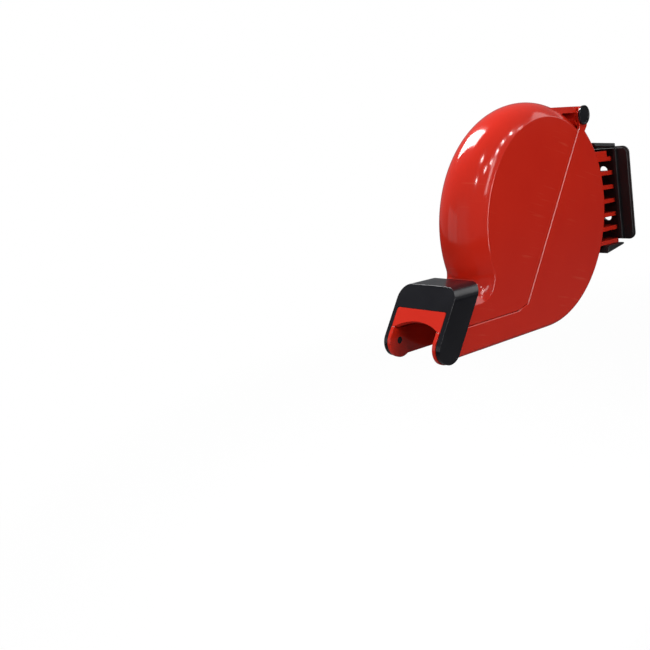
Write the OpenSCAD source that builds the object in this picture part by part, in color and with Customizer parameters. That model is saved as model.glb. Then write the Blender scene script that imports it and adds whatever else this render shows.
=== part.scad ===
// Wall-mounted take-a-number ticket dispenser.
// A snail-shaped red casing holds a loose roll of tickets. Its rear cup and lower jaw are one
// moulding, and its domed cover, with the snout and the black bow, swings open on a hinge behind
// the top. A comb of ribs on the back slides into a black bracket that is screwed to the wall.
//
// Millimetres, +Z up. The wall is the plane Y = 0, the dispenser stands out along -Y, and the
// origin is the centre of the bracket's wall face. The casing is drawn in a frame of its own,
// with its origin on the drum's axis, that leans back by casing_tilt. There, forward is -Y and
// the bottom of the jaw is level.

/* [Casing] */
// Width of the casing over its flat sides
casing_w = 54.5; // [50:0.5:60]
// Wall of the red mouldings
wall = 2.5; // [2:0.1:3]
// Radius of the rear cup at its edges
drum_r = 102; // [100:0.5:106]
// Distance of the crease round the cover's flat side inside the cup's edges
crease_in = 8; // [6:0.5:10]
// Height of the cover's crown over the crease
crown_h = 15; // [12:0.5:16]
// Rounding along the edges of the rear cup and jaw
edge_round = 4; // [3:0.5:5]
// Depth of the dome's flanges, under the crease, where they meet the flat sides
flange = 1.5; // [1:0.25:3]
// Angle by which the casing leans back in the bracket
casing_tilt = 9.6; // [5:0.2:12]
// Gap between the wall and the drum's back
drum_stand = 19.7; // [17:0.1:25]
// Height of the drum's axis over the bracket's centre
drum_rise = 8.5; // [4:0.5:14]

/* [Snout] */
// Height of the snout's crease over the jaw's bottom edge
foot_up = 40.5; // [38:0.5:43]
// Radius of the crease where the dome runs out into the snout
foot_r = 20; // [18:0.5:24]
// Reach of the bow's top front edge in front of the cup's radius
nose_out = 41; // [36:0.5:48]
// Height of the bow's top face over the jaw's bottom edge
nose_up = 61; // [59:0.5:63]
// Lean of the nose's front face from upright
nose_lean = 31; // [27:0.5:34]

/* [Parting line] */
// Angle of the upper seam from upright
seam_angle = 30.3; // [29:0.1:31.5]
// Height of the jaw's straight seam over the bottom edge
jaw_h = 23.7; // [22:0.1:25]
// Length of the slanted corner along the jaw's seam
seam_corner = 12; // [9:0.5:16]
// Height of the slanted corner over the jaw's seam
seam_corner_h = 4.1; // [3:0.1:6]
// Gap between the cover and the base along the seams
seam_gap = 0.4; // [0.3:0.05:0.6]

/* [Bow] */
// Width of the black bow
bow_w = 64; // [62.5:0.5:68]
// Thickness of the bow over the snout
bow_t = 3; // [2.5:0.1:4]
// Radius of the bow's upper corners
bow_corner = 12; // [10:0.5:14]
// Width of a leg of the bow, seen from the side
leg_w = 27.8; // [24:0.2:30]
// Length of a leg's straight front edge
leg_l = 49.4; // [46:0.2:52]
// Height of the bow's front web along the front face
web_h = 22.2; // [20:0.2:24]
// Thickness of the bow's front web
web_t = 1.8; // [1.4:0.1:2.4]
// Clearance between the bow and the casing's sides
bow_gap = 0.3; // [0.2:0.05:0.5]

/* [Mouth] */
// Thickness of an ear of the jaw
ear_t = 3.5; // [2.75:0.25:6]
// Amount by which an ear stands out past the bow's leg
ear_proud = 0.6; // [0.3:0.1:1.5]
// Distance of the ears' rear edge in front of the bow's top front edge
ear_ahead = 5.4; // [3:0.2:7]
// Length of the front plate's sides down the front face
plate_l = 40.5; // [38:0.5:41.5]
// Radius of the front plate's corners under the bow's web
plate_corner = 2; // [1:0.25:4]
// Rise of the arch in the front plate
arch_rise = 7; // [5:0.5:9]
// Distance of the jaw floor's front edge behind the bow's top front edge
floor_back = 40; // [33:1:48]
// Diameter of the latch studs
stud_d = 6; // [5:0.25:7]
// Distance of the latch studs behind the front face
stud_depth = 11.6; // [10:0.2:14]
// Length by which a latch stud stands out of its ear
stud_out = 1.2; // [0.8:0.1:1.5]
// Play of a latch stud in its groove
stud_play = 0.5; // [0.4:0.05:0.8]

/* [Hinge] */
// Distance of the hinge's axis outside the cup's edges
hinge_out = 9.6; // [9:0.1:10.5]
// Angle of the hinge over level, seen from the drum's axis
hinge_angle = 57; // [56:0.5:58]
// Diameter of the hinge barrel
barrel_d = 17; // [16:0.2:17.6]
// Diameter of the hinge pins
pin_d = 8; // [6:0.5:9]
// Length of a hinge pin's shank
pin_l = 16; // [12:0.5:20]
// Diameter of the pins' heads
pin_head_d = 18.3; // [17.8:0.1:19]
// Thickness of the pins' heads
pin_head_t = 2; // [1.5:0.1:3]
// Radial play of the barrel on the pins
pin_play = 0.06; // [0.03:0.01:0.1]
// Width of the rim round a pin's head
pin_rim = 1.6; // [1:0.1:2.5]
// Depth of the recess in a pin's head
pin_recess = 0.5; // [0.3:0.1:0.8]
// Play of the barrel between the cheeks
cheek_play = 0.3; // [0.2:0.05:0.5]
// Gap between the barrel and the trough that it lies in
trough_gap = 0.5; // [0.3:0.1:1]
// Thickness of the bridge that joins the dome to the barrel
bridge_t = 5.8; // [4.5:0.1:6.5]
// Width of the bridge where it leaves the dome
bridge_front_w = 32; // [28:1:36]

/* [Comb] */
// Number of ribs in the comb
rib_count = 7; // [7]
// Distance between ribs
rib_pitch = 14.3; // [13.5:0.1:14.6]
// Thickness of a rib
rib_t = 4.2; // [3.5:0.1:5]
// Width of the ribs
rib_w = 50; // [46:0.5:52]
// Height of the top rib over the drum's axis
rib_top = 49.2; // [48.5:0.1:50]
// Height of the clip tongue over the top rib
tongue_h = 6; // [4:0.5:7]
// Distance from the tongue's end to the ends of the ribs
tongue_short = 9; // [7:0.5:11]

/* [Bracket] */
// Width of the wall plate on each side of the channel
plate_margin = 12.2; // [9:0.2:15]
// Height of the wall plate
plate_h = 97.8; // [94:0.2:100]
// Thickness of the wall plate
plate_t = 3; // [2.5:0.1:4]
// Corner radius of the wall plate
plate_r = 7; // [5:0.5:9]
// Width of the step round the wall plate's front edge
plate_step = 1.6; // [1:0.1:2.5]
// Clearance between the comb and each of the channel's rails
comb_side = 3; // [1:0.25:5]
// Thickness of the channel's rails
rail_t = 3; // [2:0.25:4]
// Depth of the channel's rails in front of the wall plate
rail_depth = 3; // [2:0.25:4]
// Thickness of the hood over the comb
hood_t = 3.5; // [3:0.1:4.5]
// Gap between the clip tongue's line and the hood, at the wall plate
hood_play = 3.5; // [2.5:0.1:5]
// Rise of the hood from level
hood_slope = 14; // [12:0.5:16]
// Width of the hood at its front edge
hood_front_w = 44; // [38:1:50]
// Thickness of the cradle at the wall plate
cradle_t = 1.85; // [1.4:0.05:4]
// Play of the comb over the cradle
comb_play = 0.15; // [0.1:0.05:0.3]
// Gap between the ribs' ends and the wall plate
plate_gap = 0.05; // [0.05:0.05:0.3]
// Gap between the bracket's flanges and the drum
drum_play = 1.5; // [1:0.1:3]
// Distance between the screw holes across
screw_x = 29; // [26:0.5:34]
// Distance between the screw holes up and down
screw_z = 49.2; // [46:0.2:54]
// Diameter of the screw holes
screw_d = 9; // [7:0.25:10]

/* [Ticket roll] */
// Outer diameter of the roll
roll_d = 160; // [120:1:162]
// Width of the ticket strip
strip_w = 48; // [44:0.5:48.5]
// Bore of the roll's core
core_bore = 76; // [70:0.5:80]
// Wall of the roll's core
core_t = 3; // [2:0.25:4]
// Gap between the roll and the cup that it lies in
roll_gap = 0.35; // [0.3:0.05:0.6]

/* [Guides] */
// Distance between the two guide ribs in the snout
guide_span = 24; // [20:1:30]
// Thickness of a guide rib
guide_t = 2; // [1.5:0.25:3]
// Length of a guide rib
guide_l = 40; // [30:1:44]

/* [Hidden] */
$fn = 96;

red = "firebrick";
gloss_black = "#1c1c20";
satin_black = "#2b2b2b";

// A size larger than the whole object, for regions that have no bound of their own
far = 400;
// Number of steps in an edge rounding
round_steps = 4;

half_w = casing_w / 2;
inner_w = half_w - wall;
crease_r = drum_r - crease_in;
seam_z = jaw_h - drum_r;
foot_z = foot_up - drum_r;
// Centre of the concave crease between the dome and the snout
foot_cz = foot_z + foot_r;
foot_cy = -sqrt(pow(crease_r + foot_r, 2) - pow(foot_cz, 2));
// The cup's crown reaches the same radius as the cover's, so the two meet flush on the middle
cup_crown = crease_r + crown_h - drum_r;
// Radii of the two crowns' arcs
crown_r = arc_r(crown_h);
cup_crown_r = arc_r(cup_crown);
// The drum's axis in front of the wall, and the nose and the jaw's ends from that axis
drum_reach = drum_stand + drum_r + cup_crown;
nose_reach = drum_r + nose_out;
nose_drop = drum_r - nose_up;
ear_rear = nose_reach + ear_ahead;
floor_reach = nose_reach - floor_back;
// The latch studs sit level with the centres of the legs' round ends
latch_y = -nose_reach - leg_l * sin(nose_lean) + stud_depth * cos(nose_lean);
latch_z = -nose_drop - leg_l * cos(nose_lean) - stud_depth * sin(nose_lean);
hinge_back = (drum_r + hinge_out) * cos(hinge_angle);
hinge_up = (drum_r + hinge_out) * sin(hinge_angle);
barrel_r = barrel_d / 2;
// The roll lies at the lowest point of the cup, on its edges
cup_inner_r = drum_r + cup_crown - cup_crown_r + sqrt(pow(cup_crown_r - wall, 2) - pow(strip_w / 2, 2));
roll_drop = cup_inner_r - roll_d / 2 - roll_gap;
// Upper seam: distance along it from the hinge down to the jaw's straight seam
seam_run = (hinge_up - seam_z) / cos(seam_angle);
// The comb's ends stand before the wall plate, in a channel that leaves it room on both sides
comb_end = -plate_t - plate_gap;
channel_w = rib_w + 2 * (comb_side + rail_t);
plate_w = channel_w + 2 * plate_margin;
// The hood and the cradle keep clear of the comb's top and bottom
hood_up = level_at(comb_end, rib_top + rib_t / 2 + tongue_h) + hood_play + hood_t / cos(hood_slope);
cradle_top = rib_top - (rib_count - 1) * rib_pitch - rib_t / 2 - comb_play;
cradle_down = cradle_t - level_at(comb_end, cradle_top);

// ---------------------------------------------------------------- frames and outlines

// From the casing's own frame to the wall's
module casing() {
    translate([0, -drum_reach, drum_rise])
        rotate([-casing_tilt, 0, 0])
            children();
}

// Height in the wall's frame, at depth y, of a line at height z in the casing's frame
function level_at(y, z) = drum_rise - (y + drum_reach) * tan(casing_tilt) + z / cos(casing_tilt);

// From the nose's frame, whose Z runs up the front face from the bow's top front edge, to the casing's
module on_nose() {
    translate([0, -nose_reach, -nose_drop])
        rotate([-nose_lean, 0, 0])
            children();
}

// Extrudes an outline drawn in the side view, as (y, z), from x0 to x1
module side(x0, x1) {
    translate([x0, 0, 0])
        rotate([90, 0, 90])
            linear_extrude(x1 - x0)
                children();
}

// The same on the left for s = -1 and on the right for s = 1
module side_pair(x0, x1, s) {
    side(s > 0 ? x0 : -x1, s > 0 ? x1 : -x0)
        children();
}

// Extrudes an outline drawn in the front view, as (x, z), forward from y0 to y1
module forward(y0, y1) {
    translate([0, y0, 0])
        rotate([90, 0, 0])
            linear_extrude(y0 - y1)
                children();
}

// A cylinder across the object, from x0 to x1
module across(r, x0, x1) {
    translate([x0, 0, 0])
        rotate([0, 90, 0])
            cylinder(h = x1 - x0, r = r);
}

module at_hinge() {
    translate([0, hinge_back, hinge_up])
        children();
}

// Radius of the arc that rises by h over the casing's width
function arc_r(h) = (pow(half_w, 2) + pow(h, 2)) / (2 * h);

// Section of a crowned bar, w to each side, with its edges at the given height and the arc d inside
module crown_section(edges, rise, w, d) {
    r = arc_r(rise);
    translate([-w, 0])
        square([2 * w, edges + rise - r]);
    intersection() {
        translate([0, edges + rise - r])
            circle(r - d);
        translate([-w, 0])
            square([2 * w, far]);
    }
}

// ---------------------------------------------------------------- cover

// The crowned disc that the dome is part of
module dome_solid(w, d) {
    rotate([0, 90, 0])
        rotate_extrude()
            rotate(-90)
                crown_section(crease_r, crown_h, w, d);
}

// The waisted solid that scoops out the concave foot of the dome
module foot_scoop(w, d) {
    reach = foot_r + crown_r - crown_h;
    translate([0, foot_cy, foot_cz])
        rotate([0, 90, 0])
            rotate_extrude()
                difference() {
                    translate([0, -far / 2])
                        square([reach, far]);
                    translate([reach, 0])
                        circle(crown_r - d);
                }
}

// Dome, foot and snout: one crown section swept over a bend out, a bend in and a straight
module cover_solid(w, d) {
    dome_solid(w, d);
    difference() {
        side(-w, w)
            polygon([[0, 0], [foot_cy, foot_cz], [foot_cy, -drum_r], [0, -drum_r]]);
        foot_scoop(w, d);
    }
    forward(0, -2 * nose_reach)
        translate([0, -drum_r])
            crown_section(drum_r + foot_z, crown_h, w, d);
}

// Side view of what lies at least d inside the cover's crease
module cover_outline(d) {
    circle(crease_r - d);
    difference() {
        polygon([[0, 0], [foot_cy, foot_cz], [foot_cy, -drum_r], [0, -drum_r]]);
        translate([foot_cy, foot_cz])
            circle(foot_r + d);
    }
    translate([-2 * nose_reach, -drum_r])
        square([2 * nose_reach, drum_r + foot_z - d]);
}

// Seams as seen from the side: down from the hinge, round the corner and forward along the jaw
function on_seam(d) = [hinge_back - d * sin(seam_angle), hinge_up - d * cos(seam_angle)];
seam_line = [
    on_seam(-far / 2),
    on_seam(seam_run - seam_corner_h / cos(seam_angle)),
    [on_seam(seam_run)[0] - seam_corner, seam_z],
    [-far, seam_z]
];

// Side view of everything in front of and above the seams
module cover_seams() {
    g = seam_gap / 2;
    translate([-g * (1 - sin(seam_angle)) / cos(seam_angle), g])
        polygon(concat(seam_line, [[-far, far], [0, far]]));
}

// Side view of everything behind and below the seams
module base_seams() {
    g = seam_gap / 2;
    translate([g * (1 - sin(seam_angle)) / cos(seam_angle), -g])
        polygon(concat(seam_line, [[-far, -far], [far, -far], [far, far]]));
}

// Everything that lies at least d behind the nose's front face, and all that is above the bow
module behind_front(d) {
    on_nose()
        translate([-far, d, -far])
            cube(2 * far);
    translate([-far, -far, -nose_drop])
        cube(2 * far);
}

// The moulding's crowned strip, from the hinge over the dome to the nose, with flanges to the sides
module cover_shell() {
    color(red)
        casing()
            difference() {
                intersection() {
                    cover_solid(half_w, 0);
                    side(-far, far)
                        cover_seams();
                    behind_front(web_t + wall);
                }
                cover_solid(inner_w, wall);
                side(-far, far)
                    cover_outline(flange);
                at_hinge()
                    across(barrel_r, -half_w, half_w);
            }
}

// Its flat side
module cover_side(s) {
    color(red)
        casing()
            intersection() {
                side_pair(inner_w, half_w, s)
                    intersection() {
                        cover_outline(flange);
                        cover_seams();
                    }
                behind_front(web_t + wall);
            }
}

module cover_side_left() {
    cover_side(-1);
}

module cover_side_right() {
    cover_side(1);
}

// Front wall of the snout: its lower part stands almost flush with the bow's web, over an arched mouth
module front_plate() {
    arch_r = (pow(inner_w, 2) + pow(arch_rise, 2)) / (2 * arch_rise);
    set_back = bow_gap / 3;
    color(red)
        casing()
            intersection() {
                cover_solid(half_w, 0);
                side(-far, far)
                    cover_seams();
                on_nose()
                    difference() {
                        union() {
                            forward(web_t + wall, web_t)
                                translate([-half_w, -far])
                                    square([casing_w, far]);
                            forward(set_back + wall, set_back)
                                arch_outline(half_w, -web_h - bow_gap, plate_corner);
                        }
                        forward(far, -far)
                            translate([-far, -far - plate_l])
                                square([2 * far, far]);
                        forward(far, -far)
                            translate([0, arch_rise - plate_l - arch_r])
                                circle(arch_r);
                    }
            }
}

// Bridge from the dome back to the barrel, which turns on the pins between the base's cheeks
module hinge_bridge() {
    reach = inner_w - cheek_play;
    color(red)
        casing()
            difference() {
                union() {
                    difference() {
                        intersection() {
                            side(-reach, reach)
                                polygon([
                                    [0, hinge_up + barrel_r],
                                    [hinge_back, hinge_up + barrel_r],
                                    [hinge_back, hinge_up],
                                    [hinge_back - barrel_r, hinge_up + barrel_r - bridge_t],
                                    [hinge_back * 0.55, hinge_up + barrel_r - bridge_t],
                                    [hinge_back * 0.4, crease_r - wall],
                                    [0, crease_r - wall]
                                ]);
                            linear_extrude(far)
                                polygon([
                                    [-bridge_front_w / 2, 0],
                                    [bridge_front_w / 2, 0],
                                    [reach, hinge_back - 2 * barrel_r],
                                    [reach, hinge_back],
                                    [-reach, hinge_back],
                                    [-reach, hinge_back - 2 * barrel_r]
                                ]);
                        }
                        dome_solid(half_w, 0);
                    }
                    at_hinge()
                        across(barrel_r, -reach, reach);
                }
                at_hinge()
                    across(pin_d / 2 + pin_play, -half_w, half_w);
            }
}

// Rib under the snout's roof that keeps the strip on the jaw
module guide_rib(s) {
    x0 = guide_span / 2 - guide_t / 2;
    color(red)
        casing()
            intersection() {
                cover_solid(inner_w, wall);
                side_pair(x0, x0 + guide_t, s)
                    polygon([
                        [-nose_reach + wall, seam_z + 3 * wall],
                        [-nose_reach + wall, -nose_drop],
                        [-nose_reach + wall + guide_l, -nose_drop],
                        [-nose_reach + wall + guide_l, seam_z + 5 * wall],
                        [-nose_reach + 2 * wall + guide_l / 2, seam_z + wall]
                    ]);
            }
}

module guide_rib_left() {
    guide_rib(-1);
}

module guide_rib_right() {
    guide_rib(1);
}

// ---------------------------------------------------------------- bow

// An arch with round upper corners, in the front view
module arch_outline(w, top, r) {
    translate([-w, -2 * drum_r])
        square([2 * w, 2 * drum_r + top - r]);
    translate([-w + r, -2 * drum_r])
        square([2 * (w - r), 2 * drum_r + top]);
    for (s = [-1, 1])
        translate([s * (w - r), top - r])
            circle(r);
}

// Side view of the bow: a band that runs down the nose's lean into round ends
module leg_band(grow) {
    r = leg_w / 2;
    translate([-far / 2, 0, 0])
        on_nose() {
            translate([0, -grow, -leg_l])
                cube([far, leg_w + 2 * grow, far]);
            translate([0, r, -leg_l])
                rotate([0, 90, 0])
                    cylinder(h = far, r = r + grow);
        }
}

module nose_bow() {
    bow_in = half_w + bow_gap;
    groove_r = stud_d / 2 + stud_play;
    color(gloss_black)
        casing()
            difference() {
                union() {
                    intersection() {
                        leg_band(0);
                        forward(0, -2 * nose_reach)
                            difference() {
                                arch_outline(bow_w / 2, -nose_drop, bow_corner);
                                arch_outline(bow_in, -nose_drop - bow_t, bow_corner - bow_t);
                            }
                    }
                    intersection() {
                        on_nose()
                            translate([-far, 0, -web_h])
                                cube([2 * far, web_t, far]);
                        forward(0, -2 * nose_reach)
                            arch_outline(bow_in + bow_t / 2, -nose_drop, bow_corner);
                    }
                }
                for (s = [-1, 1])
                    side_pair(half_w, half_w + stud_out + bow_gap, s)
                        latch_groove(groove_r);
            }
}

// The path on which a latch stud leaves the bow's leg as the cover starts to swing
module latch_groove(r) {
    swing = atan2(latch_y - hinge_back, hinge_up - latch_z);
    translate([latch_y, latch_z]) {
        circle(r);
        rotate(swing)
            translate([0, -r])
                square([leg_w, 2 * r]);
    }
}

// ---------------------------------------------------------------- base

// Section of the cup and jaw: a crowned bar with rounded edges
module cup_section() {
    // centres of the crown's arc and of the edge's rounding, which touch on the line through both
    big_z = drum_r + cup_crown - cup_crown_r;
    small_x = half_w - edge_round;
    small_z = big_z + sqrt(pow(cup_crown_r - edge_round, 2) - pow(small_x, 2));
    a = atan2(small_z - big_z, small_x);
    edge = [for (i = [0 : round_steps - 1])
        [small_x + edge_round * cos(a * i / round_steps), small_z + edge_round * sin(a * i / round_steps)]];
    touch = [cup_crown_r * cos(a), big_z + cup_crown_r * sin(a)];
    past = touch + round_steps * (touch - edge[round_steps - 1]);
    half = concat([[half_w, 0]], edge, [past, [past[0], far]]);
    intersection() {
        crown_section(drum_r, cup_crown, half_w, 0);
        union() {
            polygon(concat([[0, 0]], half, [[0, far]]));
            mirror([1, 0])
                polygon(concat([[0, 0]], half, [[0, far]]));
        }
    }
}

module inner_cup_section() {
    crown_section(drum_r, cup_crown, inner_w, wall);
}

// A section run round the cup and, from under its axis, straight forward along the jaw
module cup_sweep() {
    rotate([0, 90, 0])
        rotate_extrude()
            intersection() {
                rotate(-90)
                    children();
                translate([0, -far / 2])
                    square(far);
            }
    forward(0, -ear_rear)
        rotate(180)
            children();
}

// Side view of a side: the cup and jaw inside their rounded edges, and the lug with a hinge pin
module base_outline() {
    waist = [hinge_back * 1.06, hinge_up * 0.84];
    intersection() {
        union() {
            circle(drum_r - edge_round);
            translate([-ear_rear, edge_round - drum_r])
                square([ear_rear, drum_r - edge_round]);
            polygon([
                [0, hinge_up],
                [0, crease_r / 2],
                [hinge_back * 1.15, hinge_up * 0.72],
                waist,
                [hinge_back * 1.12, hinge_up * 0.89],
                [hinge_back, hinge_up]
            ]);
        }
        base_seams();
    }
    translate([hinge_back, hinge_up])
        circle(barrel_r);
    polygon([
        [hinge_back - barrel_r, hinge_up],
        on_seam(1.4 * barrel_r),
        waist,
        [hinge_back * 1.12, hinge_up * 0.89],
        [hinge_back + barrel_r, hinge_up]
    ]);
}

// The moulding's crowned strip: cup and jaw floor, with a trough under the barrel
module base_shell() {
    trough_r = barrel_r + trough_gap;
    color(red)
        casing()
            difference() {
                intersection() {
                    cup_sweep()
                        cup_section();
                    side(-far, far)
                        base_seams();
                }
                difference() {
                    cup_sweep()
                        inner_cup_section();
                    // wall of the trough
                    at_hinge()
                        across(trough_r + wall, -far, far);
                }
                at_hinge()
                    across(trough_r, -inner_w, inner_w);
                translate([-inner_w, -far - floor_reach, -far])
                    cube([2 * inner_w, far, far]);
                for (s = [-1, 1])
                    side_pair(inner_w, casing_w, s)
                        base_outline();
            }
}

// Its flat side
module base_side(s) {
    color(red)
        casing()
            side_pair(inner_w, half_w, s)
                difference() {
                    base_outline();
                    translate([hinge_back, hinge_up])
                        circle(pin_d / 2);
                }
}

module base_side_left() {
    base_side(-1);
}

module base_side_right() {
    base_side(1);
}

// Side view of where an ear may be: under the cover's edge, and up to the front plate where the swing
// of the cover's lower front corner leaves room
module ear_room() {
    corner = [(web_t + wall + (seam_z + nose_drop) * sin(nose_lean)) / cos(nose_lean) - nose_reach, seam_z];
    intersection() {
        translate([-far - ear_rear, -far])
            square([far, 2 * far]);
        union() {
            translate([-far, seam_z - seam_gap / 2 - far])
                square(far);
            intersection() {
                translate(corner - [seam_gap, 0])
                    rotate(90 - atan2(hinge_back - corner[0], hinge_up - corner[1]))
                        translate([-far, -far])
                            square([far, 2 * far]);
                translate([-nose_reach, -nose_drop])
                    rotate(-nose_lean)
                        translate([-far, -far - plate_l - seam_gap])
                            square([2 * far, far]);
            }
        }
    }
}

// Round-ended cheek of the jaw beside the mouth
module ear(s) {
    color(red)
        casing()
            difference() {
                intersection() {
                    leg_band(ear_proud);
                    side_pair(half_w - ear_t, half_w, s)
                        ear_room();
                }
                translate([0, latch_y, latch_z])
                    across(stud_d / 2, -far, far);
            }
}

module ear_left() {
    ear(-1);
}

module ear_right() {
    ear(1);
}

module latch_stud(s) {
    x0 = half_w - ear_t;
    x1 = half_w + stud_out;
    color(gloss_black)
        casing()
            translate([0, latch_y, latch_z])
                across(stud_d / 2, s > 0 ? x0 : -x1, s > 0 ? x1 : -x0);
}

module latch_stud_left() {
    latch_stud(-1);
}

module latch_stud_right() {
    latch_stud(1);
}

// Black pin with a round head that stands on the cheek
module hinge_pin(s) {
    color(gloss_black)
        casing()
            at_hinge()
                rotate([0, s * 90, 0]) {
                    translate([0, 0, half_w - pin_l])
                        cylinder(h = pin_l, r = pin_d / 2);
                    translate([0, 0, half_w])
                        difference() {
                            cylinder(h = pin_head_t, r = pin_head_d / 2);
                            translate([0, 0, pin_head_t - pin_recess])
                                cylinder(h = pin_head_t, r = pin_head_d / 2 - pin_rim);
                        }
                }
}

module hinge_pin_left() {
    hinge_pin(-1);
}

module hinge_pin_right() {
    hinge_pin(1);
}

// A rib of the comb: level in the casing's frame, ending upright against the wall plate
module comb_slab(x, top, t, back) {
    intersection() {
        casing()
            difference() {
                translate([-x, 0, top - t])
                    cube([2 * x, far, t]);
                cup_sweep()
                    cup_section();
            }
        translate([-far, -far, -far])
            cube([2 * far, far + comb_end - back, 2 * far]);
    }
}

module comb_rib(i) {
    color(red)
        comb_slab(rib_w / 2, rib_top - (i - 1) * rib_pitch + rib_t / 2, rib_t, 0);
}

module comb_rib_1() {
    comb_rib(1);
}

module comb_rib_2() {
    comb_rib(2);
}

module comb_rib_3() {
    comb_rib(3);
}

module comb_rib_4() {
    comb_rib(4);
}

module comb_rib_5() {
    comb_rib(5);
}

module comb_rib_6() {
    comb_rib(6);
}

module comb_rib_7() {
    comb_rib(7);
}

module clip_tongue() {
    color(red)
        comb_slab(rib_w / 2, rib_top + rib_t / 2 + tongue_h, tongue_h, tongue_short);
}

// ---------------------------------------------------------------- bracket

module rounded_plate(w, h, r) {
    square([w, h - 2 * r], center = true);
    square([w - 2 * r, h], center = true);
    for (sx = [-1, 1], sz = [-1, 1])
        translate([sx * (w / 2 - r), sz * (h / 2 - r)])
            circle(r);
}

module wall_plate() {
    back_t = plate_t * 0.7;
    color(satin_black)
        difference() {
            union() {
                forward(0, -back_t)
                    rounded_plate(plate_w, plate_h, plate_r);
                forward(0, -plate_t)
                    rounded_plate(plate_w - 2 * plate_step, plate_h - 2 * plate_step, plate_r - plate_step);
            }
            for (sx = [-1, 1], sz = [-1, 1])
                translate([sx * screw_x / 2, 0, sz * screw_z / 2])
                    rotate([90, 0, 0])
                        cylinder(h = far, r = screw_d / 2, center = true);
        }
}

// Keeps clear of the drum's back, all round its axis
module drum_clearance() {
    translate([0, -drum_reach, drum_rise])
        across(drum_r + cup_crown + drum_play, -far, far);
}

// Sloping hood over the comb, narrower towards the drum
module bracket_hood() {
    drop = hood_t / cos(hood_slope);
    run = drum_reach - plate_t;
    rise = run * tan(hood_slope);
    color(satin_black)
        difference() {
            intersection() {
                side(-far, far)
                    polygon([
                        [-plate_t, hood_up - drop],
                        [-plate_t, hood_up],
                        [-plate_t - run, hood_up + rise],
                        [-plate_t - run, hood_up + rise - drop]
                    ]);
                linear_extrude(far)
                    polygon([
                        [-channel_w / 2, 0],
                        [channel_w / 2, 0],
                        [hood_front_w / 2, -drum_reach / 4],
                        [-hood_front_w / 2, -drum_reach / 4]
                    ]);
            }
            drum_clearance();
        }
}

// Cradle under the comb: its top follows the lowest rib, its underside is level
module bracket_cradle() {
    color(satin_black)
        difference() {
            translate([-channel_w / 2, -drum_reach, -cradle_down])
                cube([channel_w, drum_reach - plate_t, cradle_down]);
            casing()
                translate([-far, -far, cradle_top])
                    cube(2 * far);
            drum_clearance();
        }
}

// Upright rail that keeps the comb from shifting sideways
module bracket_rail(s) {
    color(satin_black)
        forward(-plate_t, -plate_t - rail_depth)
            translate([s > 0 ? channel_w / 2 - rail_t : -channel_w / 2, -plate_h / 2 + plate_step])
                square([rail_t, plate_h - 2 * plate_step]);
}

module bracket_rail_left() {
    bracket_rail(-1);
}

module bracket_rail_right() {
    bracket_rail(1);
}

// ---------------------------------------------------------------- ticket roll

module at_roll() {
    translate([0, -drum_reach, drum_rise - roll_drop])
        children();
}

module ticket_roll() {
    color("ivory")
        at_roll()
            difference() {
                across(roll_d / 2, -strip_w / 2, strip_w / 2);
                across(core_bore / 2 + core_t, -strip_w, strip_w);
            }
}

module roll_core() {
    color("tan")
        at_roll()
            difference() {
                across(core_bore / 2 + core_t, -strip_w / 2, strip_w / 2);
                across(core_bore / 2, -strip_w, strip_w);
            }
}

wall_plate();
bracket_hood();
bracket_cradle();
bracket_rail_left();
bracket_rail_right();
base_shell();
base_side_left();
base_side_right();
ear_left();
ear_right();
comb_rib_1();
comb_rib_2();
comb_rib_3();
comb_rib_4();
comb_rib_5();
comb_rib_6();
comb_rib_7();
clip_tongue();
hinge_pin_left();
hinge_pin_right();
latch_stud_left();
latch_stud_right();
cover_shell();
cover_side_left();
cover_side_right();
front_plate();
hinge_bridge();
guide_rib_left();
guide_rib_right();
nose_bow();
ticket_roll();
roll_core();
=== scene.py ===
from math import acos, atan2, cos, pi, radians, sin, sqrt, tan

import bmesh
import bpy
from mathutils import Matrix, Quaternion, Vector


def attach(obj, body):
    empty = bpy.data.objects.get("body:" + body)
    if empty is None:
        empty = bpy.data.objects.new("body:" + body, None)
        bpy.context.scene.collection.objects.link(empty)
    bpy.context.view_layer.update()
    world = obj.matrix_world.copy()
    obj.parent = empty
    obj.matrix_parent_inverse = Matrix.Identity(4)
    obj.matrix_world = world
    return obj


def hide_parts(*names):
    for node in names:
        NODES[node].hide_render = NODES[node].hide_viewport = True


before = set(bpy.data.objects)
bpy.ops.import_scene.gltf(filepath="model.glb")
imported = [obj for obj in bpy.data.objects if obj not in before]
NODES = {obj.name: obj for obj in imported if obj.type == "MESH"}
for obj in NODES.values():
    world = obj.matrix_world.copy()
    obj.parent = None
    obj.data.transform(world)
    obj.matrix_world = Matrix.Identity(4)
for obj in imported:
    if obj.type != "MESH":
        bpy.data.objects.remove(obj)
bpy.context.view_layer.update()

# ---------------------------------------------------------------- sizes, in mm, as in part.scad
TILT = radians(9.6)
REACH, RISE = 128.7, 8.5            # the drum's axis before the wall and over the bracket's centre
W, WALL = 27.25, 2.5                # half the casing's width, and its wall
IN_W = W - WALL
CREASE, CROWN = 94.0, 15.0          # the cover: radius of the crease, height of the crown over it
DRUM, CUP = 102.0, 7.0              # the base: radius at its edges, height of the crown over them
CROWN_R = (W * W + CROWN * CROWN) / (2 * CROWN)
CUP_R = (W * W + CUP * CUP) / (2 * CUP)
EDGE = 4.0                          # rounding along the base's edges
FOOT_Z, FOOT_R = -61.5, 20.0        # where the crease runs out into the snout
FOOT_CZ = FOOT_Z + FOOT_R
FOOT_CY = -sqrt((CREASE + FOOT_R) ** 2 - FOOT_CZ ** 2)
NOSE_Y, NOSE_Z, LEAN = -143.0, -41.0, radians(31)
WEB_T = 1.8                         # thickness of the bow's web
SEAM_A = radians(30.3)              # the upper seam's angle from upright
SEAM_Z = -DRUM + 23.7               # the jaw's straight seam
SEAM_RUN, SEAM_H = 12.0, 4.1        # the slanted corner between the two
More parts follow.
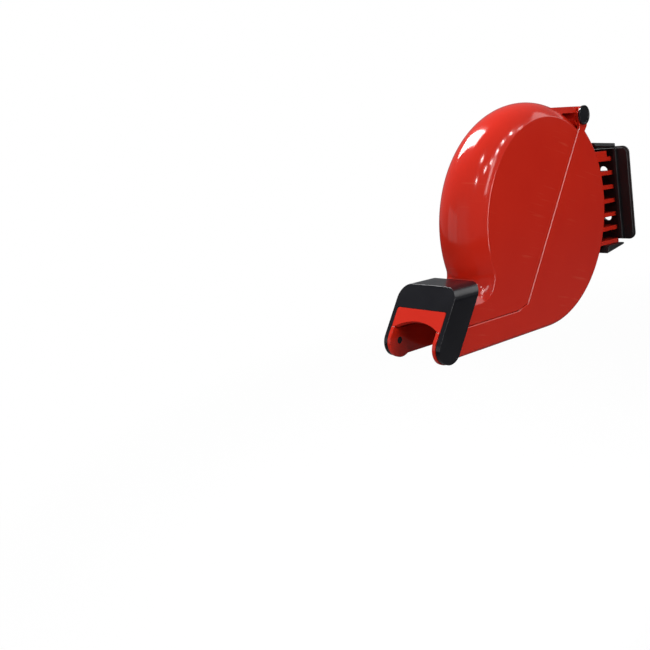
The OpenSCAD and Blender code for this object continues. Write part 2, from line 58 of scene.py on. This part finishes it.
HINGE_R, HINGE_A = DRUM + 9.6, radians(57)
HINGE = (HINGE_R * cos(HINGE_A), HINGE_R * sin(HINGE_A))
BARREL = 8.5
BARREL_W = 24.45                    # half the room for the barrel between the lugs
EAR_REAR, FLOOR = 148.4, 103.0      # where the ears and the jaw's floor begin
HALF_GAP, CHAMFER = 0.3, 0.6        # the seam's gap and its softened rims
SIDE = 5.0                          # depth of the base's flat side in its profile
COVER_SIDE = 3.0
ROLL_R, BORE_R, CORE_IN, STRIP = 80.0, 41.0, 38.0, 24.0


def cas(x, y, z):
    """A point in the casing's own frame, in mm, as a point in the row frame, in metres."""
    return Vector((x, y * cos(TILT) + z * sin(TILT) - REACH, -y * sin(TILT) + z * cos(TILT) + RISE)) * 0.001


# ---------------------------------------------------------------- materials
def material(name, base, rough):
    m = bpy.data.materials.new(name)
    m.use_nodes = True
    nt = m.node_tree
    p = nt.nodes["Principled BSDF"]
    p.inputs["Base Color"].default_value = (*base, 1)
    p.inputs["Roughness"].default_value = rough
    return m, nt, p


def add(nt, kind, **values):
    n = nt.nodes.new(kind)
    for k, v in values.items():
        if k.startswith("in_"):
            n.inputs[k[3:].replace("_", " ")].default_value = v
        else:
            setattr(n, k, v)
    return n


def mottle(nt, p, dark, light, scale, amount=0.5):
    """Slow colour change over the surface."""
    tc = add(nt, "ShaderNodeTexCoord")
    n = add(nt, "ShaderNodeTexNoise", in_Scale=scale, in_Detail=3.0, in_Roughness=0.55)
    r = add(nt, "ShaderNodeValToRGB")
    r.color_ramp.elements[0].position = 0.5 - amount / 2
    r.color_ramp.elements[1].position = 0.5 + amount / 2
    r.color_ramp.elements[0].color = (*dark, 1)
    r.color_ramp.elements[1].color = (*light, 1)
    nt.links.new(tc.outputs["Object"], n.inputs["Vector"])
    nt.links.new(n.outputs["Fac"], r.inputs["Fac"])
    nt.links.new(r.outputs["Color"], p.inputs["Base Color"])
    return tc, n, r


def rough_noise(nt, p, tc, low, high, scale):
    """Roughness that wanders between two values."""
    n = add(nt, "ShaderNodeTexNoise", in_Scale=scale, in_Detail=5.0, in_Roughness=0.6)
    r = add(nt, "ShaderNodeMapRange")
    r.inputs["From Min"].default_value = 0.3
    r.inputs["From Max"].default_value = 0.7
    r.inputs["To Min"].default_value = low
    r.inputs["To Max"].default_value = high
    nt.links.new(tc.outputs["Object"], n.inputs["Vector"])
    nt.links.new(n.outputs["Fac"], r.inputs["Value"])
    nt.links.new(r.outputs["Result"], p.inputs["Roughness"])
    return r


def bump(nt, p, tc, layers, distance=0.0002):
    """layers: (scale, weight) of noise, summed into one fine bump."""
    total = None
    for scale, weight in layers:
        n = add(nt, "ShaderNodeTexNoise", in_Scale=scale, in_Detail=2.0)
        nt.links.new(tc.outputs["Object"], n.inputs["Vector"])
        m = add(nt, "ShaderNodeMath", operation="MULTIPLY")
        m.inputs[1].default_value = weight
        nt.links.new(n.outputs["Fac"], m.inputs[0])
        if total is None:
            total = m
        else:
            a = add(nt, "ShaderNodeMath", operation="ADD")
            nt.links.new(total.outputs[0], a.inputs[0])
            nt.links.new(m.outputs[0], a.inputs[1])
            total = a
    b = add(nt, "ShaderNodeBump")
    b.inputs["Strength"].default_value = 1.0
    b.inputs["Distance"].default_value = distance
    nt.links.new(total.outputs[0], b.inputs["Height"])
    nt.links.new(b.outputs["Normal"], p.inputs["Normal"])
    return b


def red_plastic(name):
    """Glossy moulded red, with patches of faint slanting scuffs."""
    m, nt, p = material(name, (0.6, 0.02, 0.01), 0.12)
    tc, _, ramp = mottle(nt, p, (0.55, 0.017, 0.007), (0.61, 0.022, 0.009), 14.0, 0.6)
    mp = add(nt, "ShaderNodeMapping", vector_type="TEXTURE")
    mp.inputs["Rotation"].default_value = (radians(-25), 0, 0)
    mp.inputs["Scale"].default_value = (0.05, 0.06, 0.0026)
    nt.links.new(tc.outputs["Object"], mp.inputs["Vector"])
    lines = add(nt, "ShaderNodeTexNoise", in_Scale=1.0, in_Detail=2.0)
    nt.links.new(mp.outputs["Vector"], lines.inputs["Vector"])
    patch = add(nt, "ShaderNodeTexNoise", in_Scale=26.0, in_Detail=2.0)
    nt.links.new(tc.outputs["Object"], patch.inputs["Vector"])
    parts = []
    for n, low, high in ((lines, 0.6, 0.74), (patch, 0.5, 0.66)):
        r = add(nt, "ShaderNodeMapRange")
        r.inputs["From Min"].default_value = low
        r.inputs["From Max"].default_value = high
        nt.links.new(n.outputs["Fac"], r.inputs["Value"])
        parts.append(r)
    scuff = add(nt, "ShaderNodeMath", operation="MULTIPLY")
    nt.links.new(parts[0].outputs["Result"], scuff.inputs[0])
    nt.links.new(parts[1].outputs["Result"], scuff.inputs[1])
    part = add(nt, "ShaderNodeMath", operation="MULTIPLY")
    part.inputs[1].default_value = 0.2
    nt.links.new(scuff.outputs[0], part.inputs[0])
    mix = add(nt, "ShaderNodeMix", data_type="RGBA")
    mix.inputs["B"].default_value = (0.72, 0.16, 0.1, 1)
    nt.links.new(part.outputs[0], mix.inputs["Factor"])
    nt.links.new(ramp.outputs["Color"], mix.inputs["A"])
    nt.links.new(mix.outputs["Result"], p.inputs["Base Color"])
    r = rough_noise(nt, p, tc, 0.09, 0.15, 60.0)
    s = add(nt, "ShaderNodeMath", operation="MULTIPLY_ADD")
    s.inputs[1].default_value = 0.1
    nt.links.new(scuff.outputs[0], s.inputs[0])
    nt.links.new(r.outputs["Result"], s.inputs[2])
    nt.links.new(s.outputs[0], p.inputs["Roughness"])
    bump(nt, p, tc, [(9.0, 1.0), (40.0, 0.12)], 0.00014)
    return m


RED = red_plastic("casing_red")

def black_plastic(name, base, rough, colours, spots, span, patches, grain, depth):
    """Black with a slow mottle between two colours, wandering roughness and a fine grain."""
    m, nt, p = material(name, base, rough)
    tc, _, _ = mottle(nt, p, *colours, spots)
    rough_noise(nt, p, tc, *span, patches)
    bump(nt, p, tc, grain, depth)
    return m


BLACK = black_plastic("trim_black", (0.006, 0.006, 0.008), 0.18,
                      ((0.004, 0.004, 0.006), (0.008, 0.008, 0.011)), 20.0,
                      (0.12, 0.26), 45.0, [(60.0, 1.0), (900.0, 0.1)], 0.00004)
SATIN = black_plastic("bracket_black", (0.009, 0.009, 0.01), 0.42,
                      ((0.004, 0.004, 0.005), (0.009, 0.009, 0.01)), 25.0,
                      (0.36, 0.52), 80.0, [(700.0, 1.0), (1600.0, 0.6)], 0.00003)


def paper_material():
    m, nt, p = material("ticket_paper", (0.8, 0.78, 0.7), 0.8)
    tc = add(nt, "ShaderNodeTexCoord")
    sep = add(nt, "ShaderNodeSeparateXYZ")
    nt.links.new(tc.outputs["Object"], sep.inputs["Vector"])
    centre = (-REACH * 0.001, ROLL_Z * 0.001)
    squares = []
    for axis, c in (("Y", centre[0]), ("Z", centre[1])):
        s = add(nt, "ShaderNodeMath", operation="SUBTRACT")
        s.inputs[1].default_value = c
        nt.links.new(sep.outputs[axis], s.inputs[0])
        q = add(nt, "ShaderNodeMath", operation="MULTIPLY")
        nt.links.new(s.outputs[0], q.inputs[0])
        nt.links.new(s.outputs[0], q.inputs[1])
        squares.append(q)
    a = add(nt, "ShaderNodeMath", operation="ADD")
    nt.links.new(squares[0].outputs[0], a.inputs[0])
    nt.links.new(squares[1].outputs[0], a.inputs[1])
    r = add(nt, "ShaderNodeMath", operation="SQRT")
    nt.links.new(a.outputs[0], r.inputs[0])
    turns = add(nt, "ShaderNodeMath", operation="MULTIPLY")
    turns.inputs[1].default_value = 2200.0
    nt.links.new(r.outputs[0], turns.inputs[0])
    n = add(nt, "ShaderNodeTexNoise", in_Scale=1.0, in_Detail=3.0)
    n.noise_dimensions = "1D"
    nt.links.new(turns.outputs[0], n.inputs["W"])
    ramp = add(nt, "ShaderNodeValToRGB")
    ramp.color_ramp.elements[0].position = 0.35
    ramp.color_ramp.elements[1].position = 0.6
    ramp.color_ramp.elements[0].color = (0.62, 0.59, 0.5, 1)
    ramp.color_ramp.elements[1].color = (0.84, 0.82, 0.74, 1)
    nt.links.new(n.outputs["Fac"], ramp.inputs["Fac"])
    nt.links.new(ramp.outputs["Color"], p.inputs["Base Color"])
    fibre = add(nt, "ShaderNodeTexNoise", in_Scale=900.0, in_Detail=4.0)
    nt.links.new(tc.outputs["Object"], fibre.inputs["Vector"])
    s = add(nt, "ShaderNodeMath", operation="ADD")
    nt.links.new(n.outputs["Fac"], s.inputs[0])
    nt.links.new(fibre.outputs["Fac"], s.inputs[1])
    b = add(nt, "ShaderNodeBump")
    b.inputs["Distance"].default_value = 0.00012
    nt.links.new(s.outputs[0], b.inputs["Height"])
    nt.links.new(b.outputs["Normal"], p.inputs["Normal"])
    return m


CUP_INNER = DRUM + CUP - CUP_R + sqrt((CUP_R - WALL) ** 2 - STRIP ** 2)
ROLL_Z = RISE - (CUP_INNER - ROLL_R - 0.35)
PAPER = paper_material()



def board_material():
    m, nt, p = material("core_board", (0.4, 0.28, 0.17), 0.85)
    tc, _, _ = mottle(nt, p, (0.34, 0.24, 0.145), (0.5, 0.37, 0.24), 160.0, 0.5)
    bump(nt, p, tc, [(500.0, 1.0)], 0.0001)
    return m


BOARD = board_material()

# ---------------------------------------------------------------- mesh helpers


def obj_from(name, verts, faces):
    me = bpy.data.meshes.new(name)
    me.from_pydata([tuple(v) for v in verts], [], faces)
    me.update()
    o = bpy.data.objects.new(name, me)
    bpy.context.scene.collection.objects.link(o)
    bm = bmesh.new()
    bm.from_mesh(me)
    bmesh.ops.remove_doubles(bm, verts=bm.verts, dist=1e-7)
    bmesh.ops.recalc_face_normals(bm, faces=bm.faces)
    bm.to_mesh(me)
    bm.free()
    return o


def applied(o):
    """The object with its modifiers made part of its mesh."""
    dg = bpy.context.evaluated_depsgraph_get()
    me = bpy.data.meshes.new_from_object(o.evaluated_get(dg))
    old = o.data
    o.modifiers.clear()
    o.data = me
    bpy.data.meshes.remove(old)
    return o


def cut(o, cutter, how="DIFFERENCE", keep=False):
    m = o.modifiers.new("cut", "BOOLEAN")
    m.object = cutter
    m.operation = how
    m.solver = "EXACT"
    applied(o)
    if not keep:
        bpy.data.objects.remove(cutter)
    return o


def bevel(o, width, segments=3, angle=38):
    m = o.modifiers.new("bevel", "BEVEL")
    m.width = width * 0.001
    m.segments = segments
    m.limit_method = "ANGLE"
    m.angle_limit = radians(angle)
    return applied(o)


def shade(o, angle=32):
    """Smooth shading with sharp edges kept."""
    me = o.data
    me.polygons.foreach_set("use_smooth", [True] * len(me.polygons))
    me.set_sharp_from_angle(angle=radians(angle))
    m = o.modifiers.new("normals", "WEIGHTED_NORMAL")
    m.keep_sharp = True
    m.weight = 90
    return applied(o)


def dress(o, mat, body, slot, *replaced):
    """Give a piece its material and its body, and hide the CAD nodes that it stands for. The slot is not
    used.
    """
    o.data.materials.clear()
    o.data.materials.append(mat)
    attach(o, body)
    if replaced:
        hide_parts(*replaced)
    return o


def arc(centre, r, a0, a1, n, first=0):
    """Points of the side view round an arc, in n steps, from step first."""
    angles = [a0 + (a1 - a0) * i / n for i in range(first, n + 1)]
    return [(centre[0] + r * cos(a), centre[1] + r * sin(a)) for a in angles]


def prism(name, outline, low, high, place):
    """A solid between two copies of an outline: place(u, v, w) gives the point, w from low to high."""
    n = len(outline)
    verts = [place(u, v, low) for u, v in outline] + [place(u, v, high) for u, v in outline]
    faces = [list(range(n))[::-1], list(range(n, 2 * n))]
    faces += [[i, (i + 1) % n, n + (i + 1) % n, n + i] for i in range(n)]
    return obj_from(name, verts, faces)


def ring(name, radii, x0, x1, centre, steps=96, place=cas):
    """A cylinder or tube across the object about a point of the side view."""
    def circle(r):
        return arc(centre, r, 0, 2 * pi, steps)[:-1]
    o = prism(name, circle(radii[0]), x0, x1, lambda u, v, w: place(w, u, v))
    if len(radii) > 1:
        cut(o, prism("bore", circle(radii[1]), x0 - 1, x1 + 1, lambda u, v, w: place(w, u, v)))
    return o


def copied(name, node):
    """A CAD node's form with its flat faces made whole again, to take a bevel."""
    o = bpy.data.objects.new(name, NODES[node].data.copy())
    bpy.context.scene.collection.objects.link(o)
    bm = bmesh.new()
    bm.from_mesh(o.data)
    bmesh.ops.remove_doubles(bm, verts=bm.verts, dist=2e-6)
    bmesh.ops.dissolve_limit(bm, angle_limit=radians(0.6), verts=bm.verts, edges=bm.edges)
    bmesh.ops.recalc_face_normals(bm, faces=bm.faces)
    bm.to_mesh(o.data)
    bm.free()
    return o


# ---------------------------------------------------------------- profiles and paths


def fillet(slope, r, steps):
    """Points (dh, dx) round the corner between the side and a surface that leaves it at this slope."""
    n = sqrt(slope * slope + 1)
    d1, d2 = Vector((-1, 0)), Vector((slope / n, -1 / n))
    half = acos(max(-1, min(1, d1.dot(d2)))) / 2
    run = r / tan(half)
    centre = (d1 + d2).normalized() * (r / sin(half))
    a, b = d1 * run - centre, d2 * run - centre
    ang = acos(max(-1, min(1, a.dot(b) / (r * r))))
    out = []
    for i in range(steps + 1):
        t = i / steps
        q = (a * sin((1 - t) * ang) + b * sin(t * ang)) / sin(ang)
        out.append(centre + q)
    return out


def crowned(w, top, rho, edge, side, steps=30):
    """Cross-section (h, x) from the left side up over an arc of radius rho to the right side.

    edge is the right edge's rounding, from the side to the arc."""
    x_in = edge[-1][1]
    right = [(-side, w)] + edge
    across = [x_in * (1 - 2 * i / steps) for i in range(1, steps)]
    mid = [(top - rho + sqrt(rho * rho - x * x), x) for x in across]
    left = [(a, -b) for a, b in reversed(right)]
    return (right + mid + left)[::-1]


def crease_profile(w, rise, rho0, d, r, side):
    """A crown whose arc, d inside the one of radius rho0, meets the sides in a crease softened by r."""
    rho = rho0 - d
    root = sqrt(rho * rho - w * w)
    foot = rise - rho0 + root
    edge = [(foot + p[0], w + p[1]) for p in fillet(w / root, r, 8)]
    return crowned(w, rise - d, rho, edge, side)


def round_profile(w, rise, rho, e, side):
    """A crown whose arc runs into the sides round edges of radius e."""
    xs = w - e
    hs = rise - rho + sqrt((rho - e) ** 2 - xs * xs)
    a = atan2(hs - rise + rho, xs)
    edge = [(hs + e * sin(a * i / 8), xs + e * cos(a * i / 8)) for i in range(9)]
    return crowned(w, rise, rho, edge, side)


def seam_hit(r, off):
    """Where a circle about the drum's axis meets the upper seam, moved forward by off."""
    ny, nz = -cos(SEAM_A), sin(SEAM_A)
    hy, hz = HINGE[0] + ny * off, HINGE[1] + nz * off
    dy, dz = -sin(SEAM_A), -cos(SEAM_A)
    b = hy * dy + hz * dz
    c = hy * hy + hz * hz - r * r
    d = -b - sqrt(b * b - c)
    return hy + d * dy, hz + d * dz


def cover_path(h, off, n=(90, 28, 4)):
    """The cover's line in the side view, h outside the crease, from the hinge to behind the bow."""
    r = CREASE + h
    y, z = seam_hit(r, HALF_GAP + off)
    a0 = atan2(z, y)
    a1 = pi + atan2(-FOOT_CZ, -FOOT_CY)
    pts = arc((0, 0), r, a0, a1, n[0])
    pts += arc((FOOT_CY, FOOT_CZ), FOOT_R - h, a1 - pi, -pi / 2, n[1], 1)
    z_end = FOOT_Z + h
    y_end = NOSE_Y + (WEB_T + WALL + off + (z_end - NOSE_Z) * sin(LEAN)) / cos(LEAN)
    pts += [(FOOT_CY + (y_end - FOOT_CY) * i / n[2], z_end) for i in range(1, n[2] + 1)]
    return pts


def base_path(h, off, n=(110, 8)):
    """The base's line in the side view, h outside its edges, from the hinge to behind the ears."""
    r = DRUM + h
    y, z = seam_hit(r, -HALF_GAP - off)
    pts = arc((0, 0), r, atan2(z, y), -pi / 2, n[0])
    y_end = -EAR_REAR + off
    pts += [(y_end * i / n[1], -r) for i in range(1, n[1] + 1)]
    return pts


def seam_points(off):
    """The seams' two corners, moved by off to the cover's side."""
    def line(p, q):
        d = Vector((q[0] - p[0], q[1] - p[1])).normalized()
        n = Vector((-d.y, d.x))
        if n.x > 0 or (abs(n.x) < 0.3 and n.y < 0):
            n = -n
        return Vector(p) + n * off, d
    run = (HINGE[1] - SEAM_Z) / cos(SEAM_A)
    top = HINGE
    c1d = run - SEAM_H / cos(SEAM_A)
    c1 = (HINGE[0] - c1d * sin(SEAM_A), HINGE[1] - c1d * cos(SEAM_A))
    c2 = (HINGE[0] - run * sin(SEAM_A) - SEAM_RUN, SEAM_Z)
    end = (-300, SEAM_Z)
    lines = [line(top, c1), line(c1, c2), line(c2, end)]
    out = []
    for (p, d), (q, e) in zip(lines, lines[1:]):
        det = d.x * -e.y + e.x * d.y
        t = ((q.x - p.x) * -e.y + e.x * (q.y - p.y)) / det
        out.append((p.x + d.x * t, p.y + d.y * t))
    return out


def shell(name, path, outer, inner, corners):
    """A moulding: a profile swept along the side view's path, flat sides, and chamfered rims where it parts.

    corners(off) gives the rim's corners in the side view, from the path's end back to its start."""
    verts, faces = [], []

    def put(x, y, z):
        verts.append(cas(x, y, z))
        return len(verts) - 1

    def grid(profile, off):
        cols = [[put(x, *p) for p in path(h, off)] for h, x in profile]
        for a, b in zip(cols, cols[1:]):
            for i in range(len(a) - 1):
                faces.append([a[i], a[i + 1], b[i + 1], b[i]])
        return cols

    def inset(profile, d):
        out = []
        for j, (h, x) in enumerate(profile):
            a, b = profile[max(j - 1, 0)], profile[min(j + 1, len(profile) - 1)]
            t = Vector((b[0] - a[0], b[1] - a[1])).normalized()
            out.append((h - t.y * d, x + t.x * d))
        return out

    out_cols = grid(outer, CHAMFER)
    in_cols = grid(inner, 0.0)
    rims = {}
    sides = ((outer, out_cols, CHAMFER), (inner, in_cols, 0.0))
    for key, (profile, cols, off) in zip("oi", sides):
        for s, col in ((-1, cols[0]), (1, cols[-1])):
            x = abs(profile[0][1]) * s
            rim = [put(x, *p) for p in corners(off)]
            faces.append(col + rim)
            rims[key, s] = rim
    # the rim's own loop, in the parting plane and set in by the chamfer
    small = inset(outer, CHAMFER)
    first, last = [], []
    for h, x in small:
        p = path(h, 0.0)
        first.append(put(x, *p[0]))
        last.append(put(x, *p[-1]))
    xr = abs(outer[0][1]) - CHAMFER
    mid = {s: [put(xr * s, *p) for p in corners(0.0)] for s in (-1, 1)}

    def loop(start, end, rim):
        return start + rim[1][::-1] + end[::-1] + rim[-1]
    a = loop([c[0] for c in out_cols], [c[-1] for c in out_cols], {s: rims["o", s] for s in (-1, 1)})
    b = loop(first, last, mid)
    c = loop([c[0] for c in in_cols], [c[-1] for c in in_cols], {s: rims["i", s] for s in (-1, 1)})
    for p, q in ((a, b), (b, c)):
        for i in range(len(p)):
            k = (i + 1) % len(p)
            faces.append([p[i], p[k], q[k], q[i]])
    return obj_from(name, verts, faces)


# ---------------------------------------------------------------- cover
def cover_corners(off):
    """The cover's rim in the side view: behind the bow, and the seams' two corners."""
    c1, c2 = seam_points(HALF_GAP + off)
    z = c2[1]
    y_end = NOSE_Y + (WEB_T + WALL + off + (z - NOSE_Z) * sin(LEAN)) / cos(LEAN)
    return [(y_end, z), c2, c1]


cover = shell("cover_skin", cover_path, crease_profile(W, CROWN, CROWN_R, 0.0, 1.8, COVER_SIDE),
              crease_profile(IN_W, CROWN, CROWN_R, WALL, 0.6, COVER_SIDE), cover_corners)
cut(cover, ring("c", [BARREL + 0.1], -24.3, 24.3, HINGE))
shade(cover)
dress(cover, RED, "cover", "casing_red", "cover_shell", "cover_side_left", "cover_side_right")


# ---------------------------------------------------------------- base
def base_corners(off):
    """The base's rim in the side view: at the ears, and the seams' two corners."""
    c1, c2 = seam_points(-HALF_GAP - off)
    return [(-EAR_REAR + off, c2[1]), c2, c1]


base = shell("base_skin", base_path, round_profile(W, CUP, CUP_R, EDGE, SIDE),
             crease_profile(IN_W, CUP, CUP_R, WALL, 1.5, SIDE), base_corners)


def box(x0, x1, y0, y1, z0, z1):
    return prism("box", [(y0, z0), (y1, z0), (y1, z1), (y0, z1)], x0, x1, lambda u, v, w: cas(w, u, v))


cut(base, box(-IN_W + 0.05, IN_W - 0.05, -EAR_REAR - 2, -FLOOR, -130, -60))
cut(base, ring("c", [BARREL + 0.5], -BARREL_W, BARREL_W, HINGE))

# the trough's own wall, under the barrel
steps = 144
verts, faces = [], []
for h, x in round_profile(W, CUP - 0.3, CUP_R, EDGE, SIDE):
    verts += [cas(x, *q) for q in arc((0, 0), DRUM + h, 0, 2 * pi, steps)[:-1]]
rows = len(verts) // steps
for a in range(rows - 1):
    for i in range(steps):
        k = (i + 1) % steps
        faces.append([a * steps + i, a * steps + k, (a + 1) * steps + k, (a + 1) * steps + i])
faces += [list(range(steps)), list(range((rows - 1) * steps, rows * steps))]
trough = ring("trough_skin", [BARREL + 3.0, BARREL + 0.55], -24.6, 24.6, HINGE)
cut(trough, obj_from("lathe", verts, faces), "INTERSECT")
shade(trough)
dress(trough, RED, "base", "casing_red")

# lugs that carry the hinge pins, in one piece with the sides


def on_seam(d, off):
    return HINGE[0] - d * sin(SEAM_A) + off, HINGE[1] - d * cos(SEAM_A)


lug = arc(HINGE, BARREL, radians(-6), radians(184), 24)
lug += [on_seam(BARREL * 1.4, 0.4), on_seam(BARREL * 3, 1.5)]
lug += [(HINGE[0] * u, HINGE[1] * v) for u, v in ((1.15, 0.72), (1.06, 0.84), (1.12, 0.89))]
for side in (-1, 1):
    o = prism("lug", lug, side * IN_W, side * (W - 0.01), lambda u, v, w: cas(w, u, v))
    cut(base, bevel(o, 0.4), "UNION")
shade(base)
dress(base, RED, "base", "casing_red", "base_shell", "base_side_left", "base_side_right")

# ---------------------------------------------------------------- the other CAD pieces, with soft edges
for node, body, mat, slot, width in (
        ("front_plate", "cover", RED, "casing_red", 0.5),
        ("nose_bow", "cover", BLACK, "trim_black", 1.1),
        ("hinge_bridge", "cover", RED, "casing_red", 0.4),
        ("guide_rib_left", "cover", RED, "casing_red", 0.3),
        ("guide_rib_right", "cover", RED, "casing_red", 0.3),
        ("ear_left", "base", RED, "casing_red", 1.1),
        ("ear_right", "base", RED, "casing_red", 1.1),
        ("clip_tongue", "base", RED, "casing_red", 0.3),
        ("hinge_pin_left", "base", BLACK, "trim_black", 0.4),
        ("hinge_pin_right", "base", BLACK, "trim_black", 0.4),
        ("latch_stud_left", "base", BLACK, "trim_black", 0.3),
        ("latch_stud_right", "base", BLACK, "trim_black", 0.3),
        ("wall_plate", "bracket", SATIN, "bracket_black", 0.5),
        ("bracket_hood", "bracket", SATIN, "bracket_black", 0.6),
        ("bracket_cradle", "bracket", SATIN, "bracket_black", 0.6),
        ("bracket_rail_left", "bracket", SATIN, "bracket_black", 0.4),
        ("bracket_rail_right", "bracket", SATIN, "bracket_black", 0.4),
        *((f"comb_rib_{i}", "base", RED, "casing_red", 0.35) for i in range(1, 8))):
    o = copied(node + "_skin", node)
    bevel(o, width)
    shade(o)
    dress(o, mat, body, slot, node)

# ---------------------------------------------------------------- ticket roll


def plain(x, y, z):
    """A point of the row frame, in mm, in metres."""
    return Vector((x, y, z)) * 0.001


o = ring("roll_skin", [ROLL_R, BORE_R], -STRIP, STRIP, (-REACH, ROLL_Z), 160, plain)
bevel(o, 0.25, 2)
shade(o)
dress(o, PAPER, "roll", "ticket_paper", "ticket_roll")
o = ring("core_skin", [BORE_R - 0.05, CORE_IN], -STRIP, STRIP, (-REACH, ROLL_Z), 120, plain)
bevel(o, 0.4, 2)
shade(o)
dress(o, BOARD, "roll", "core_board", "roll_core")

# ---------------------------------------------------------------- camera
F, YAW, PITCH, ROLL = 776.012, 0.8980266727573518, 0.31991310108082416, -0.2148162211884432
fwd = Vector((-sin(YAW) * cos(PITCH), cos(YAW) * cos(PITCH), -sin(PITCH)))
right = Vector((cos(YAW), sin(YAW), 0))
up = right.cross(fwd)
r2, u2 = cos(ROLL) * right + sin(ROLL) * up, -sin(ROLL) * right + cos(ROLL) * up
cam = bpy.data.objects.new("camera", bpy.data.cameras.new("camera"))
bpy.context.scene.collection.objects.link(cam)
cam.data.sensor_width = 36
cam.data.lens = F / 650 * 36
cam.data.clip_start = 0.01
cam.data.clip_end = 50
cam.matrix_world = Matrix((
    (r2.x, u2.x, -fwd.x, 0.4410695),
    (r2.y, u2.y, -fwd.y, -0.7495169),
    (r2.z, u2.z, -fwd.z, 0.1887478),
    (0, 0, 0, 1)))
bpy.context.scene.camera = cam

# ---------------------------------------------------------------- floor, lights


def lamp(name, power, size, place, target=(0, -0.16, 0.0), diffuse=True, glossy=True, roll=0):
    d = bpy.data.lights.new(name, "AREA")
    d.shape = "RECTANGLE"
    d.size, d.size_y = size
    d.energy = power
    o = bpy.data.objects.new(name, d)
    bpy.context.scene.collection.objects.link(o)
    o.location = place
    o.rotation_mode = "QUATERNION"
    aim = (Vector(place) - Vector(target)).to_track_quat("Z", "Y")
    o.rotation_quaternion = aim @ Quaternion((0, 0, 1), radians(roll))
    o.visible_diffuse, o.visible_glossy = diffuse, glossy
    return o


lamp("window", 15, (0.3, 0.7), (-0.6, -0.02, 0.85), (0, -0.19, 0.1))
lamp("front", 5.0, (0.7, 0.7), (-0.1, -1.2, 0.2), glossy=False)
lamp("side", 7, (0.6, 0.6), (1.3, -0.2, 0.3), glossy=False)
lamp("side_glint", 9, (0.45, 0.9), (1.2, -0.02, 0.1), diffuse=False)
lamp("front_haze", 0.5, (0.7, 0.5), (-0.7, -1.05, 0.15), diffuse=False)
lamp("seam_glint", 1.1, (0.1, 0.6), (0.95, -0.365, 0.71), (0.027, -0.125, 0), diffuse=False, roll=-41)
lamp("back", 3, (0.8, 0.8), (0.6, 1.2, 0.6))
# a room's small ceiling lamps, over the object's right
CEILING = ((0.76, 0.3), (0.75, 0.58), (0.84, 0.94), (0.32, -0.32), (0.93, -0.14), (0.54, -0.79), (0.8, -0.4),
           (0.86, 0.1))
for i, (u, v) in enumerate(CEILING):
    lamp(f"ceiling_{i}", 0.75, (0.06, 0.09), (u * 0.95, v * 0.95 - 0.17, 1.0))


def grey(v):
    return (v, v, v, 1)


def floor_material():
    """Pale to the camera, with the object's shadow, and dark to the gloss, as the photo's room is."""
    m, nt, p = material("floor", (1, 1, 1), 0.8)
    lp = add(nt, "ShaderNodeLightPath")
    em = add(nt, "ShaderNodeEmission")
    em.inputs["Color"].default_value = grey(1)
    tc = add(nt, "ShaderNodeTexCoord")
    away = add(nt, "ShaderNodeVectorMath", operation="LENGTH")
    white = add(nt, "ShaderNodeMapRange")
    for name, v in (("From Min", 0.2), ("From Max", 1.1), ("To Min", 0.8), ("To Max", 1.0)):
        white.inputs[name].default_value = v
    part = add(nt, "ShaderNodeMath", operation="MULTIPLY")
    pale = add(nt, "ShaderNodeMix", data_type="RGBA")
    pale.inputs["A"].default_value = grey(0.1)
    pale.inputs["B"].default_value = grey(0.86)
    mix = add(nt, "ShaderNodeMixShader")
    for a, b in ((tc.outputs["Object"], away.inputs[0]),
                 (away.outputs["Value"], white.inputs["Value"]),
                 (white.outputs["Result"], part.inputs[0]),
                 (lp.outputs["Is Camera Ray"], part.inputs[1]),
                 (lp.outputs["Is Camera Ray"], pale.inputs["Factor"]),
                 (pale.outputs["Result"], p.inputs["Base Color"]),
                 (part.outputs[0], mix.inputs["Fac"]),
                 (p.outputs["BSDF"], mix.inputs[1]),
                 (em.outputs["Emission"], mix.inputs[2]),
                 (mix.outputs["Shader"], nt.nodes["Material Output"].inputs["Surface"])):
        nt.links.new(a, b)
    return m


FAR, FLOOR_Z = 4, -0.42
floor = obj_from("floor", [(x, y, FLOOR_Z) for x, y in ((-FAR, -FAR), (FAR, -FAR), (FAR, FAR), (-FAR, FAR))],
                 [[0, 1, 2, 3]])
floor.data.materials.append(floor_material())


def white_world():
    """White to the camera, dim to the object, with a part of the white in the gloss."""
    world = bpy.data.worlds.new("world")
    world.use_nodes = True
    nt = world.node_tree
    dim = nt.nodes["Background"]
    dim.inputs["Color"].default_value = (0.55, 0.56, 0.58, 1)
    dim.inputs["Strength"].default_value = 0.22
    white = add(nt, "ShaderNodeBackground")
    white.inputs["Color"].default_value = grey(1)
    white.inputs["Strength"].default_value = 1.0
    lp = add(nt, "ShaderNodeLightPath")
    clear = add(nt, "ShaderNodeMath", operation="MAXIMUM")
    part = add(nt, "ShaderNodeMath", operation="MULTIPLY_ADD")
    part.inputs[1].default_value = 0.08
    mix = add(nt, "ShaderNodeMixShader")
    for a, b in ((lp.outputs["Is Camera Ray"], clear.inputs[0]),
                 (lp.outputs["Is Transmission Ray"], clear.inputs[1]),
                 (lp.outputs["Is Glossy Ray"], part.inputs[0]),
                 (clear.outputs[0], part.inputs[2]),
                 (part.outputs[0], mix.inputs["Fac"]),
                 (dim.outputs["Background"], mix.inputs[1]),
                 (white.outputs["Background"], mix.inputs[2]),
                 (mix.outputs["Shader"], nt.nodes["World Output"].inputs["Surface"])):
        nt.links.new(a, b)
    return world


bpy.context.scene.world = white_world()

bpy.context.scene.view_settings.view_transform = "Standard"

bpy.context.view_layer.update()
